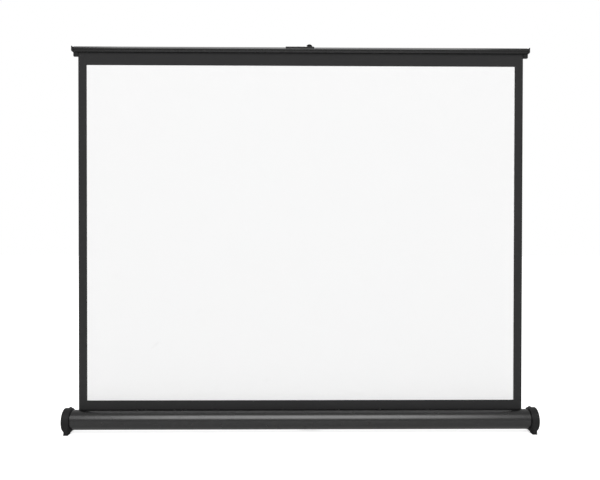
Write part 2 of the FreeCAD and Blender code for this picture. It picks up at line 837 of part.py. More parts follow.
def rail_bracket():
    """The steel plate on the rail that carries the arm's top pivot. Its lip grips the rail's front facet."""
    piece = Piece("rail_bracket", ZERO, rail_y, rail_z)
    top = size.rail_height
    front = size.rail_lean - size.rail_width / 2
    thickness = size.saddle_thickness
    ear_rear = upper_layer - size.washer_thickness - size.screen_plane - size.rail_setback
    ear_front = ear_rear - size.ear_plate_thickness
    lip_root = front - part_of(size.rail_lean, size.saddle_lip, size.rail_height - size.rail_shoulder)
    lip_bottom = top - size.saddle_lip
    plate = corners(
        (front, top), (ear_rear, top), (ear_rear, top + thickness), (front - thickness, top + thickness),
        (lip_root - thickness, lip_bottom), (lip_root, lip_bottom))
    piece.add("YZ", -size.saddle_left, size.saddle_right, plate)
    radius = size.arm_width / 2
    x_low = size.ear_plate_left
    x_high = size.saddle_right
    pivot = (size.arm_place, size.top_pivot_rise)
    bottom = size.ear_plate_foot
    ear = [
        Corner(x_low, bottom), Corner(x_high, bottom), Corner(x_high, top + thickness),
        Corner(size.arm_place + radius, size.top_pivot_rise),
        Corner(size.arm_place - radius, size.top_pivot_rise, pivot, 1),
        Corner(x_low, top + thickness)]
    piece.add("XZ", ear_front, ear_rear, ear)
    hole = Disc(size.arm_place, size.top_pivot_rise, size.arm_hole_radius + size.running_clearance)
    piece.cut("XZ", ear_front, ear_rear, hole)
    for x, y in rivet_places():
        piece.cut("XY", top, top + thickness, Disc(x, y, size.rivet_shank_radius))
    return piece.finish()


def bracket_rivets():
    """Two drive rivets that hold the bracket on the rail."""
    rivets = []
    shank = size.rivet_shank_radius - size.running_clearance
    over = size.rail_height + size.saddle_thickness
    for x, y in rivet_places():
        sections = [
            (size.rail_height - size.rivet_depth, over, shank),
            (over, over + size.rivet_head, size.rivet_radius)]
        name = f"rivet_{len(rivets) + 1}"
        rivets.append(turned_piece(name, "Z", sections, None, x, rail_y + y, rail_z).body)
    return group("bracket_rivets", rivets)


def arm(name, layer, low):
    """One half of the folding arm, between two pivots one arm length apart."""
    piece = Piece(name, size.arm_place, axis_y, axis_z + low)
    radius = size.arm_width / 2
    outline = [
        Corner(radius, ZERO, (ZERO, ZERO), 1), Corner(radius, arm_length),
        Corner(-radius, arm_length, (ZERO, arm_length), 1), Corner(-radius, ZERO)]
    rear = layer + size.arm_thickness
    piece.add("XZ", layer, rear, outline)
    hole = size.arm_hole_radius + size.running_clearance
    piece.cut("XZ", layer, rear, Disc(ZERO, ZERO, hole), Disc(ZERO, arm_length, hole))
    half_groove = size.arm_groove_width / 2
    margin = size.arm_groove_margin
    groove = rectangle(-half_groove, margin, half_groove, arm_length - margin)
    piece.cut("XZ", rear - size.arm_groove_depth, rear, groove)
    return piece.finish()


def pivot_pin(name, height, sections):
    """A riveted pin that the arm turns on."""
    return turned_piece(name, "Y", sections, None, size.arm_place, axis_y, axis_z + height).finish()


def washer(name, height, front, rear):
    """A thin washer between two layers of the arm."""
    bore = size.arm_hole_radius + size.fit_clearance
    sections = [(front, rear, size.washer_radius)]
    return turned_piece(name, "Y", sections, bore, size.arm_place, axis_y, axis_z + height).finish()


def arm_pivots():
    """The pins and washers at the arm's base, knee and top."""
    shank = size.arm_hole_radius
    head = size.pin_head_radius
    lower_rear = lower_layer + size.arm_thickness
    pivot_pin("base_pivot_pin", base_pivot, [
        (base_plate_front - size.pin_head, base_plate_front, head),
        (base_plate_front, lower_rear + size.gap, shank),
        (lower_rear + size.gap, lower_rear + size.gap + size.pin_head, head)])
    washer("base_washer", base_pivot, base_plate_rear, lower_layer - size.gap)
    pivot_pin("knee_pin", knee_pivot, [
        (lower_layer, arm_rear + size.gap, shank),
        (arm_rear + size.gap, arm_rear + size.gap + size.pin_head, head)])
    washer("knee_washer", knee_pivot, lower_rear, upper_layer)
    ear_rear = upper_layer - size.washer_thickness
    ear_front = ear_rear - size.ear_plate_thickness
    pivot_pin("top_pivot_pin", top_pivot, [
        (ear_front, arm_rear + size.gap, shank),
        (arm_rear + size.gap, arm_rear + size.gap + size.pin_head, head)])
    washer("top_washer", top_pivot, ear_rear, upper_layer)


def base_bracket():
    """The bracket on the rear of the housing that carries the arm's base pivot."""
    piece = Piece("arm_base_bracket", size.arm_place, axis_y, axis_z)
    front = base_plate_front
    rear = base_plate_rear
    low = -size.base_bracket_drop
    high = base_pivot + size.arm_width / 2
    step = size.base_bracket_block_top
    half = size.base_bracket_width / 2
    deep = size.screen_plane
    section = corners((deep, low), (rear, low), (rear, high), (front, high), (front, step), (deep, step))
    piece.add("YZ", -half, half, section)
    over = size.cut_overrun
    piece.cut("YZ", -half - over, half + over, Disc(ZERO, ZERO, size.tube_radius + size.running_clearance))
    hole = Disc(ZERO, base_pivot, size.arm_hole_radius + size.running_clearance)
    piece.cut("XZ", front - over, rear + over, hole)
    for x, z in bracket_screw_places():
        screw_hole = Disc(x - size.arm_place, z, size.bracket_screw_radius + size.fit_clearance)
        piece.cut("XZ", size.screen_plane, rear + over, screw_hole)
    return piece.finish()


def base_bracket_screws():
    """Four screws that hold the base bracket to the tube."""
    screws = []
    rear = base_plate_rear
    inside = size.tube_radius - size.bracket_screw_reach
    for x, z in bracket_screw_places():
        sections = [
            (inside, rear, size.bracket_screw_radius),
            (rear, rear + size.bracket_screw_head, size.bracket_screw_head_radius)]
        name = f"bracket_screw_{len(screws) + 1}"
        screws.append(turned_piece(name, "Y", sections, None, x, axis_y, axis_z + z).body)
    return group("base_bracket_screws", screws)


def build():
    """Makes every sub-part."""
    housing_tube()
    for side, end in ((-1, "left"), (1, "right")):
        end_cap(side, f"end_cap_{end}")
        end_cap_cover(side, f"end_cap_cover_{end}")
        front_pad(side, f"front_pad_{end}")
        rear_leg(side, f"rear_leg_{end}")
        leg_pad(side, f"leg_pad_{end}")
        leg_screw(side, f"leg_screw_{end}")
        rail_cap(side, f"rail_cap_{end}")
    end_cap_screws()
    roller_parts()
    screen_parts()
    rail_profile()
    screen_spline()
    rail_bracket()
    bracket_rivets()
    arm("lower_arm", lower_layer, base_pivot)
    arm("upper_arm", upper_layer, knee_pivot)
    arm_pivots()
    base_bracket()
    base_bracket_screws()
    doc.recompute()


def check():
    """Stops if any object failed or any sub-part is empty or invalid."""
    for thing in doc.Objects:
        if "Invalid" in thing.State or "Error" in thing.State:
            raise RuntimeError(f"{thing.Label} failed")
    for node in NODES:
        if node.Shape.isNull() or not node.Shape.isValid():
            raise RuntimeError(f"{node.Label} has no valid shape")


def write():
    """Writes each sub-part to its own file."""
    os.makedirs("parts", exist_ok=True)
    for node in NODES:
        node.Shape.exportStep(f"parts/{node.Label}.step")
        box = node.Shape.BoundBox
        corners_text = " ".join(f"{value:.2f}" for value in (
            box.XMin, box.XMax, box.YMin, box.YMax, box.ZMin, box.ZMax))
        print(f"{node.Label}: {len(node.Shape.Solids)} solid(s), box {corners_text}")


build()
check()
write()
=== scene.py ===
import json
import math

import bmesh
import bpy
from mathutils import Matrix, Vector, noise

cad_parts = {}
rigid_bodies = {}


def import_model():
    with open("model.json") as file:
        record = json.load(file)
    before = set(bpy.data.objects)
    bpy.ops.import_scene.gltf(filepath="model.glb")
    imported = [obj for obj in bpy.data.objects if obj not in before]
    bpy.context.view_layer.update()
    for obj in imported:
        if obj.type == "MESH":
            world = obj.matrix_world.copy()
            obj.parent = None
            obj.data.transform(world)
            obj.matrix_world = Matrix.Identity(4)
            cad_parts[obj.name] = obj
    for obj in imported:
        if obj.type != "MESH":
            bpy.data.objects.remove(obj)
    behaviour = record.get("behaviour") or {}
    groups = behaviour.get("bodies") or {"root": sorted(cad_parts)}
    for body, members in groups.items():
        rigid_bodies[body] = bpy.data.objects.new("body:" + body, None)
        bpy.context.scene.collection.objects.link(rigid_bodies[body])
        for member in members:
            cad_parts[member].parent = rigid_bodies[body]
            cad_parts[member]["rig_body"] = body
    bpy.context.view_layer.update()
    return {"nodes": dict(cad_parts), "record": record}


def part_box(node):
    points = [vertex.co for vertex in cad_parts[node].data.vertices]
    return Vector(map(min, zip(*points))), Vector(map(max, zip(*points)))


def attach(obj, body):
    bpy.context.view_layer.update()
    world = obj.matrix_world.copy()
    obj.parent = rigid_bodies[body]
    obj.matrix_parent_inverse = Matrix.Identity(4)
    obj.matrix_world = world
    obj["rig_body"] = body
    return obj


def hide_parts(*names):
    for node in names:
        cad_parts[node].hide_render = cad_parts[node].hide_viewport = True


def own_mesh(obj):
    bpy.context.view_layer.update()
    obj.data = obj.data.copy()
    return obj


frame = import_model()
nodes = frame["nodes"]

MM = 0.001
SIDES = ("left", "right")


# Camera

FOCAL_PIXELS = 640
IMAGE_WIDTH = 600
SENSOR_WIDTH = 36
CAMERA_PLACE = (-0.0213, -1.55415, 0.4691)
CAMERA_YAW = -0.685
CAMERA_PITCH = -0.536
CAMERA_ROLL = 0.073


def make_camera():
    """The photograph's view: straight on, from a little below the middle of the screen."""
    data = bpy.data.cameras.new("camera")
    data.sensor_width = SENSOR_WIDTH
    data.lens = FOCAL_PIXELS / IMAGE_WIDTH * SENSOR_WIDTH
    camera = bpy.data.objects.new("camera", data)
    bpy.context.scene.collection.objects.link(camera)
    turn = Matrix.Rotation(math.radians(CAMERA_YAW), 4, "Z")
    tilt = Matrix.Rotation(math.radians(90 + CAMERA_PITCH), 4, "X")
    roll = Matrix.Rotation(math.radians(CAMERA_ROLL), 4, "Z")
    camera.matrix_world = Matrix.Translation(CAMERA_PLACE) @ turn @ tilt @ roll
    bpy.context.scene.camera = camera


# Materials

# The Mix node has one set of sockets for each kind of data. These are the ones for colours.
MIX_FIRST_COLOR = 6
MIX_SECOND_COLOR = 7
MIX_RESULT_COLOR = 2


def set_input(tree, socket, value):
    """Links the socket to another one, or gives it a fixed value."""
    if isinstance(value, bpy.types.NodeSocket):
        tree.links.new(value, socket)
    else:
        socket.default_value = value


class Paint:
    """A node material that is built up around one Principled shader."""

    def __init__(self, name, color, roughness, metallic=0.0, specular=0.5, sheen=0.0):
        self.material = bpy.data.materials.new(name)
        self.material.use_nodes = True
        self.tree = self.material.node_tree
        self.shader = self.tree.nodes["Principled BSDF"]
        self.shader.inputs["Base Color"].default_value = (*color, 1)
        self.shader.inputs["Roughness"].default_value = roughness
        self.shader.inputs["Metallic"].default_value = metallic
        self.shader.inputs["Specular IOR Level"].default_value = specular
        self.shader.inputs["Sheen Weight"].default_value = sheen
        self.place = self.node("ShaderNodeTexCoord").outputs["Object"]
        self.bump = None

    def node(self, kind, inputs=None, **settings):
        made = self.tree.nodes.new(kind)
        for name, value in settings.items():
            setattr(made, name, value)
        for name, value in (inputs or {}).items():
            set_input(self.tree, made.inputs[name], value)
        return made

    def noise(self, scale, stretch=(1, 1, 1), detail=3.0, roughness=0.55):
        """Soft random values from 0 to 1. The scale is in features a metre, drawn out by a small stretch."""
        mapping = self.node("ShaderNodeMapping", {"Vector": self.place, "Scale": stretch})
        texture = self.node("ShaderNodeTexNoise", {
            "Vector": mapping.outputs["Vector"], "Scale": scale, "Detail": detail, "Roughness": roughness})
        return texture.outputs["Fac"]

    def ramp(self, value, low, high, start=0.0, end=1.0):
        """The value, spread from low..high to start..end."""
        node = self.node("ShaderNodeMapRange", {
            "Value": value, "From Min": low, "From Max": high, "To Min": start, "To Max": end})
        node.clamp = True
        return node.outputs["Result"]

    def combine(self, operation, first, second):
        """Two values, joined by a math operation such as ADD."""
        return self.node("ShaderNodeMath", {0: first, 1: second}, operation=operation).outputs[0]

    def mix_color(self, share, first, second):
        """The first colour where the share is 0, and the second where it is 1."""
        node = self.node("ShaderNodeMix", {"Factor": share}, data_type="RGBA")
        for index, color in ((MIX_FIRST_COLOR, first), (MIX_SECOND_COLOR, second)):
            fixed = isinstance(color, tuple)
            set_input(self.tree, node.inputs[index], (*color, 1) if fixed else color)
        return node.outputs[MIX_RESULT_COLOR]

    def set_color(self, socket):
        self.tree.links.new(socket, self.shader.inputs["Base Color"])

    def set_roughness(self, socket):
        self.tree.links.new(socket, self.shader.inputs["Roughness"])

    def add_bump(self, height, depth, strength=1.0):
        """Raises the surface by the height, from 0 to 1, times the depth in metres."""
        inputs = {"Height": height, "Distance": depth, "Strength": strength}
        if self.bump:
            inputs["Normal"] = self.bump
        self.bump = self.node("ShaderNodeBump", inputs).outputs["Normal"]
        self.tree.links.new(self.bump, self.shader.inputs["Normal"])

    def edges(self, low=0.6, high=0.75):
        """A value that is 1 on worn outer edges and 0 elsewhere."""
        return self.ramp(self.node("ShaderNodeNewGeometry").outputs["Pointiness"], low, high)


def tinted(color, factor):
    return tuple(channel * factor for channel in color)


DUST_COLOR = (0.3, 0.3, 0.29)
LINT_COLOR = (0.35, 0.35, 0.34)
WORN_STEEL_COLOR = (0.05, 0.05, 0.05)


def powder_coat(name, color, roughness, specular, grain=0.012 * MM, drawn=False):
    """Satin black coating on extruded aluminium: orange peel, dust, thin edges and perhaps draw lines."""
    paint = Paint(name, color, roughness, specular=specular)
    tone = paint.mix_color(paint.noise(9), tinted(color, 0.9), tinted(color, 1.12))
    worn = paint.mix_color(paint.edges(), tone, tinted(color, 2.4))
    dust = paint.ramp(paint.noise(420, detail=5.0, roughness=0.7), 0.66, 0.78, end=0.05)
    paint.set_color(paint.mix_color(dust, worn, DUST_COLOR))
    paint.set_roughness(paint.ramp(paint.noise(60), 0.3, 0.7, roughness * 0.9, roughness * 1.12))
    paint.add_bump(paint.noise(1500, detail=2.0), grain)
    if drawn:
        paint.add_bump(paint.noise(2600, stretch=(0.004, 1, 1), detail=2.0), 0.008 * MM)
    return paint.material


def moulded_plastic(name, color, roughness, specular):
    """Moulded plastic with a spark-eroded grain and slightly polished edges."""
    paint = Paint(name, color, roughness, specular=specular)
    tone = paint.mix_color(paint.noise(25), tinted(color, 0.88), tinted(color, 1.1))
    paint.set_color(paint.mix_color(paint.edges(), tone, tinted(color, 1.9)))
    paint.set_roughness(paint.ramp(paint.noise(90), 0.3, 0.7, roughness * 0.92, roughness * 1.08))
    paint.add_bump(paint.noise(2800, detail=2.0), 0.02 * MM)
    return paint.material


def soft_rubber(name, color):
    """Matt rubber with a fine bloom."""
    paint = Paint(name, color, roughness=0.82, specular=0.3)
    bloom = paint.ramp(paint.noise(220, detail=5.0), 0.45, 0.75)
    paint.set_color(paint.mix_color(bloom, color, tinted(color, 1.9)))
    paint.add_bump(paint.noise(1900, detail=2.0), 0.03 * MM)
    return paint.material


def oxide_steel(name, color, roughness):
    """Black-finished steel with faint rolling marks and bare metal at worn edges."""
    paint = Paint(name, color, roughness, specular=0.12)
    rolled = paint.noise(900, stretch=(0.05, 1, 1))
    tone = paint.mix_color(paint.noise(40), tinted(color, 0.85), tinted(color, 1.2))
    paint.set_color(paint.mix_color(paint.edges(0.53, 0.66), tone, WORN_STEEL_COLOR))
    paint.set_roughness(paint.ramp(rolled, 0.3, 0.7, roughness * 0.85, roughness * 1.2))
    paint.add_bump(rolled, 0.01 * MM)
    return paint.material


def plated_steel(name, color, roughness, stretch=(1, 1, 1)):
    """Plated or bare steel with fine brushing and small stains."""
    paint = Paint(name, color, roughness, metallic=1.0)
    brushed = paint.noise(1800, stretch=stretch)
    stain = paint.ramp(paint.noise(160, detail=4.0), 0.5, 0.75)
    paint.set_color(paint.mix_color(stain, color, tinted(color, 0.72)))
    paint.set_roughness(paint.ramp(brushed, 0.3, 0.7, roughness * 0.8, roughness * 1.25))
    paint.add_bump(brushed, 0.006 * MM)
    return paint.material


def nylon(name, color):
    """White nylon washers, a little waxy."""
    paint = Paint(name, color, roughness=0.4)
    paint.set_color(paint.mix_color(paint.noise(300), tinted(color, 0.94), color))
    paint.add_bump(paint.noise(1500, detail=2.0), 0.008 * MM)
    return paint.material


# The length after which the wave texture repeats at a scale of 1, in metres.
WAVE_PERIOD = 0.314
THREAD_PITCH = 0.6 * MM


def weave_height(paint):
    """The height of a plain weave, which repeats after two threads each way."""
    threads = []
    for direction in ("X", "Z"):
        wave = paint.node("ShaderNodeTexWave", {
            "Vector": paint.place, "Scale": WAVE_PERIOD / (2 * THREAD_PITCH), "Distortion": 0.35,
            "Detail": 1.0, "Detail Scale": 2.0}, wave_type="BANDS", bands_direction=direction)
        threads.append(wave.outputs["Fac"])
    return paint.combine("MULTIPLY", *threads)


# Faint marks low on the white area. The middle (x, z) and the size are in metres, the slant is in degrees.
MARKS = (
    {"middle": (-0.346, 0.205), "size": (0.016, 0.004), "slant": 41, "strength": 0.1},
    {"middle": (-0.24, 0.286), "size": (0.014, 0.004), "slant": 18, "strength": 0.05},
    {"middle": (-0.082, 0.121), "size": (0.011, 0.006), "slant": 12, "strength": 0.05},
    {"middle": (-0.441, 0.37), "size": (0.012, 0.009), "slant": 0, "strength": 0.03},
)


def smear(paint, middle, size, slant, strength):
    """A mark that has its strength in the middle and fades to nothing at its edge."""
    x, z = middle
    length, width = size
    mapping = paint.node("ShaderNodeMapping", {
        "Vector": paint.place, "Location": (x, 0, z), "Rotation": (0, -math.radians(slant), 0),
        "Scale": (length, 1, width)}, vector_type="TEXTURE")
    reach = paint.node("ShaderNodeVectorMath", {0: mapping.outputs["Vector"]}, operation="LENGTH")
    return paint.ramp(reach.outputs["Value"], 0.3, 1.0, strength, 0.0)


def white_fabric(name, color):
    """The matt white coating of the viewing area, with its weave just showing and a few faint marks."""
    paint = Paint(name, color, roughness=0.92, specular=0.12)
    cloud = paint.mix_color(paint.noise(7, detail=2.0), tinted(color, 0.994), color)
    thread = paint.ramp(paint.noise(700, stretch=(1, 1, 0.25), detail=2.0), 0.3, 0.7, end=0.5)
    tone = paint.mix_color(thread, cloud, tinted(color, 0.985))
    marks = 0.0
    for mark in MARKS:
        marks = paint.combine("ADD", smear(paint, **mark), marks)
    fleck = paint.ramp(paint.noise(310), 0.35, 0.6, 0.4, 1.0)
    paint.set_color(paint.mix_color(paint.combine("MULTIPLY", marks, fleck), tone, tinted(color, 0.6)))
    paint.add_bump(weave_height(paint), 0.02 * MM, 0.6)
    return paint.material


def black_fabric(name, color):
    """The matt black print of the border and the black cloth backing, with a little lint."""
    paint = Paint(name, color, roughness=0.78, specular=0.18, sheen=0.05)
    tone = paint.mix_color(paint.noise(11), tinted(color, 0.92), tinted(color, 1.1))
    lint = paint.ramp(paint.noise(520, detail=6.0, roughness=0.75), 0.69, 0.8, end=0.12)
    paint.set_color(paint.mix_color(lint, tone, LINT_COLOR))
    fibre = paint.noise(900, stretch=(1, 1, 0.3), detail=2.0)
    paint.set_roughness(paint.ramp(fibre, 0.3, 0.7, 0.72, 0.84))
    paint.add_bump(weave_height(paint), 0.03 * MM, 0.8)
    return paint.material


def make_materials():
    """The materials by name: one for each of the record's slots, and a finer coat for the rail."""
    recipes = (
        (powder_coat, "black_aluminium", (0.003, 0.003, 0.0031),
         {"roughness": 0.25, "specular": 0.61, "drawn": True}),
        (powder_coat, "black_rail_aluminium", (0.003, 0.003, 0.0031),
         {"roughness": 0.15, "specular": 0.56, "grain": 0.003 * MM}),
        (powder_coat, "black_arm_aluminium", (0.005, 0.005, 0.0052), {"roughness": 0.34, "specular": 0.45}),
        (moulded_plastic, "black_plastic", (0.011, 0.011, 0.0113), {"roughness": 0.52, "specular": 0.18}),
        (oxide_steel, "black_steel", (0.006, 0.006, 0.0063), {"roughness": 0.42}),
        (plated_steel, "plated_steel", (0.56, 0.57, 0.58), {"roughness": 0.34}),
        (plated_steel, "roller_steel", (0.5, 0.5, 0.51), {"roughness": 0.38, "stretch": (0.02, 1, 1)}),
        (plated_steel, "spring_steel", (0.22, 0.22, 0.23), {"roughness": 0.4}),
        (soft_rubber, "black_rubber", (0.008, 0.008, 0.008), {}),
        (nylon, "white_plastic", (0.78, 0.78, 0.75), {}),
        (white_fabric, "white_screen_fabric", (0.945, 0.945, 0.945), {}),
        (black_fabric, "black_screen_fabric", (0.026, 0.026, 0.0265), {}),
    )
    return {name: maker(name, color, **settings) for maker, name, color, settings in recipes}


MATERIALS = make_materials()


# Pieces

def node_slot(node):
    """The record's material slot for the node."""
    for part in frame["record"]["subparts"]:
        if part["node"] == node:
            return part["material_slot"]
    raise KeyError(node)


def finish_piece(name, mesh_data, body, replaced, materials):
    """Puts a finished mesh in the scene: on its body and in place of its CAD nodes."""
    piece = bpy.data.objects.new(name, mesh_data)
    bpy.context.scene.collection.objects.link(piece)
    for material in materials:
        mesh_data.materials.append(material)
    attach(piece, body)
    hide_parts(*replaced)
    return piece


def finish_node(node, mesh_data, material):
    """Puts a finished mesh in the scene in place of one CAD node."""
    finish_piece(node + "_finish", mesh_data, nodes[node]["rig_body"], [node], [material])


def mesh_from(form, name):
    """Turns the form into a mesh and lets the form go."""
    mesh = bpy.data.meshes.new(name)
    form.to_mesh(mesh)
    form.free()
    return mesh


def shade_by_angle(mesh, limit):
    """Smooth shading with the edges sharper than the limit, in degrees, kept sharp."""
    mesh.polygons.foreach_set("use_smooth", [True] * len(mesh.polygons))
    mesh.set_sharp_from_angle(angle=math.radians(limit))


# The weight that a face's own normal has at least, so that no sum of normals is zero.
LEAST_AREA = 1e-9


def shade_by_area(mesh, limit):
    """Smooth shading in which large faces stay flat, so that only the rounded edges between them turn.

    Faces that meet at more than the limit, in degrees, don't share their normals.
    """
    least = math.cos(math.radians(limit))
    around = [[] for vertex in mesh.vertices]
    for face in mesh.polygons:
        for vertex in face.vertices:
            around[vertex].append(face)
    normals = []
    for face in mesh.polygons:
        for vertex in face.vertices:
            near = [other for other in around[vertex] if face.normal.dot(other.normal) > least]
            total = sum((other.normal * other.area for other in near), face.normal * LEAST_AREA)
            normals.append(total.normalized())
    mesh.polygons.foreach_set("use_smooth", [True] * len(mesh.polygons))
    mesh.normals_split_custom_set(normals)


# Rounded edges

PAIRED_EDGE_WIDTHS = {
    "end_cap": 0.35 * MM,
    "front_pad": 0.4 * MM,
    "rear_leg": 0.4 * MM,
    "leg_pad": 0.4 * MM,
    "rail_cap": 0.3 * MM,
}
EDGE_WIDTHS = {
    "rail_bracket": 0.2 * MM,
    "arm_base_bracket": 0.35 * MM,
    "lower_arm": 0.35 * MM,
    "upper_arm": 0.35 * MM,
}
RAIL_EDGE_WIDTH = 0.12 * MM
EDGE_SEGMENTS = 2

# Faces that meet at less than the flat angle are one face, and edges above the sharp angle are rounded.
FLAT_ANGLE = 0.4
SHARP_ANGLE = 40

# Points this near to each other are one point: first in the solid, then where rounded edges meet.
SEAM_GAP = 0.002 * MM
CORNER_GAP = 0.001 * MM

# Faces narrower than the sliver are closed up, and faces with more corners than this become triangles.
SLIVER_WIDTH = 0.002 * MM
MOST_CORNERS = 4


def rounded_copy(node, width, material, smooth):
    """A CAD solid with its sharp edges rounded over by the width, for what would be a knife edge."""
    form = bmesh.new()
    form.from_mesh(nodes[node].data)
    bmesh.ops.remove_doubles(form, verts=form.verts, dist=SEAM_GAP)
    bmesh.ops.dissolve_limit(form, angle_limit=math.radians(FLAT_ANGLE), verts=form.verts, edges=form.edges)
    sharp = [edge for edge in form.edges
             if len(edge.link_faces) == 2 and edge.calc_face_angle(0) > math.radians(SHARP_ANGLE)]
    bmesh.ops.bevel(form, geom=sharp, offset=width, segments=EDGE_SEGMENTS, profile=0.5, affect="EDGES",
                    clamp_overlap=True, harden_normals=False)
    bmesh.ops.remove_doubles(form, verts=form.verts, dist=CORNER_GAP)
    bmesh.ops.dissolve_degenerate(form, dist=SLIVER_WIDTH, edges=form.edges)
    bmesh.ops.triangulate(form, faces=[face for face in form.faces if len(face.verts) > MOST_CORNERS])
    mesh = mesh_from(form, node + "_finish")
    shade_by_area(mesh, limit=smooth)
    finish_node(node, mesh, material)


def make_rounded_pieces():
    """The solids whose edges catch the light. The rail's small facets stay flat beside its edges."""
    widths = {name + "_" + side: width for name, width in PAIRED_EDGE_WIDTHS.items() for side in SIDES}
    widths.update(EDGE_WIDTHS)
    for node, width in widths.items():
        rounded_copy(node, width, MATERIALS[node_slot(node)], smooth=50)
    rounded_copy("rail_profile", RAIL_EDGE_WIDTH, MATERIALS["black_rail_aluminium"], smooth=10)


# Screen

backing_low, backing_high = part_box("screen_backing")
view_low, view_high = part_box("viewing_surface")
SCREEN_LEFT = backing_low.x
SCREEN_RIGHT = backing_high.x
SCREEN_BOTTOM = backing_low.z
SCREEN_TOP = backing_high.z
SCREEN_BACK = backing_high.y
SCREEN_FRONT = view_low.y
VIEW_LEFT = view_low.x
VIEW_RIGHT = view_high.x
VIEW_BOTTOM = view_low.z
VIEW_TOP = view_high.z

# The cloth's mesh, its folds in waves a metre, and its curl toward the side edges.
FABRIC_STEP = 12 * MM
FABRIC_WAVE = 0.45 * MM
FOLDS_ACROSS = 3.1
FOLDS_UP = 0.55
FOLD_SEED = 4.2
FOLD_SHARE = 1.5
CURL_SHARE = 0.7
CURL_POWER = 6

# The places of the sheet's two materials.
WHITE_CLOTH = 0
BLACK_CLOTH = 1


def steps_between(places, step):
    """The given places with even steps filled in between them."""
    filled = [places[0]]
    for start, end in zip(places, places[1:]):
        count = max(1, round((end - start) / step))
        filled += [start + (end - start) * index / count for index in range(1, count + 1)]
    return filled


def fabric_wave(x, z):
    """How far the hanging cloth stands off its plane: nothing where it is held, a little between."""
    height = (z - VIEW_BOTTOM) / (VIEW_TOP - VIEW_BOTTOM)
    held = max(0.0, math.sin(math.pi * min(1.0, max(0.0, height))))
    long_fold = noise.noise(Vector((x * FOLDS_ACROSS, z * FOLDS_UP, FOLD_SEED)))
    curl = (abs(x) / SCREEN_RIGHT) ** CURL_POWER
    return FABRIC_WAVE * held * (FOLD_SHARE * long_fold + CURL_SHARE * curl)


def cloth_sheet(name, columns, rows, white):
    """A thin sheet of cloth between the given columns and rows. The test says which cells are white."""
    form = bmesh.new()
    layers = []
    for depth in (SCREEN_FRONT, SCREEN_BACK):
        layers.append([[form.verts.new((x, depth + fabric_wave(x, z), z)) for x in columns] for z in rows])
    front, back = layers
    for row in range(len(rows) - 1):
        for column in range(len(columns) - 1):
            middle_x = (columns[column] + columns[column + 1]) / 2
            middle_z = (rows[row] + rows[row + 1]) / 2
            face = form.faces.new((front[row][column], front[row][column + 1],
                                   front[row + 1][column + 1], front[row + 1][column]))
            face.material_index = WHITE_CLOTH if white(middle_x, middle_z) else BLACK_CLOTH
            face = form.faces.new((back[row][column], back[row + 1][column],
                                   back[row + 1][column + 1], back[row][column + 1]))
            face.material_index = BLACK_CLOTH
    rim = ([(0, column) for column in range(len(columns))]
           + [(row, len(columns) - 1) for row in range(1, len(rows))]
           + [(len(rows) - 1, column) for column in range(len(columns) - 2, -1, -1)]
           + [(row, 0) for row in range(len(rows) - 2, 0, -1)])
    for (row, column), (next_row, next_column) in zip(rim, rim[1:] + rim[:1]):
        face = form.faces.new((front[row][column], back[row][column],
                               back[next_row][next_column], front[next_row][next_column]))
        face.material_index = BLACK_CLOTH
    bmesh.ops.recalc_face_normals(form, faces=form.faces)
    mesh = mesh_from(form, name)
    shade_by_angle(mesh, limit=60)
    return mesh


def make_screen():
    """The screen in two stretches: what winds up in the housing, and the top border that stays out."""
    columns = steps_between([SCREEN_LEFT, VIEW_LEFT, VIEW_RIGHT, SCREEN_RIGHT], FABRIC_STEP)
    rows = steps_between([SCREEN_BOTTOM, VIEW_BOTTOM, VIEW_TOP], FABRIC_STEP)
    fabrics = [MATERIALS["white_screen_fabric"], MATERIALS["black_screen_fabric"]]

    mesh = cloth_sheet("screen_sheet", columns, rows,
                       lambda x, z: VIEW_LEFT < x < VIEW_RIGHT and VIEW_BOTTOM < z < VIEW_TOP)
    sheet = finish_piece("screen_sheet", mesh, "housing",
                         ["screen_backing", "viewing_surface", "screen_border"], fabrics)
    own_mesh(sheet)

    rows = steps_between([VIEW_TOP, SCREEN_TOP], FABRIC_STEP)
    mesh = cloth_sheet("screen_top_border", columns, rows, lambda x, z: False)
    border = finish_piece("screen_top_border", mesh, "rail", ["screen_border"],
                          fabrics)


# Fasteners

LATHE_SEGMENTS = 32
DOME_STEPS = 6

# The recess in a head: where the dome stops, the mouth, the bevel's depth and the floor.
RECESS_CLEAR_SHARE = 1.15
RECESS_MOUTH_SHARE = 1.08
RECESS_BEVEL_SHARE = 0.25
RECESS_FLOOR_SHARE = 0.9


def lathe(form, profile, place, axis):
    """Turns a profile of (radius, along) points about an axis through the place."""
    along = Vector(axis).normalized()
    side = along.orthogonal().normalized()
    other = along.cross(side)
    rings = []
    for radius, height in profile:
        middle = Vector(place) + along * height
        if radius == 0:
            rings.append([form.verts.new(middle)])
            continue
        ring = []
        for index in range(LATHE_SEGMENTS):
            angle = 2 * math.pi * index / LATHE_SEGMENTS
            spoke = side * math.cos(angle) + other * math.sin(angle)
            ring.append(form.verts.new(middle + spoke * radius))
        rings.append(ring)
    for first, second in zip(rings, rings[1:]):
        for index in range(LATHE_SEGMENTS):
            following = (index + 1) % LATHE_SEGMENTS
            if len(first) == 1:
                form.faces.new((first[0], second[index], second[following]))
            elif len(second) == 1:
                form.faces.new((first[index], second[0], first[following]))
            else:
                form.faces.new((first[index], second[index], second[following], first[following]))


def shank(radius, length, tip_radius, chamfer):
    """The profile of a shank from its tip up to the head's seat, which is at 0."""
    return [(0, -length), (tip_radius, -length), (radius, -length + chamfer), (radius, 0)]


def dome(radius, height, rim):
    """The profile of a domed head from the edge of its rim nearly to its crown."""
    points = [(radius, 0), (radius, rim)]
    for index in range(1, DOME_STEPS):
        angle = math.pi / 2 * index / DOME_STEPS
        points.append((radius * math.cos(angle), rim + (height - rim) * math.sin(angle)))
    return points


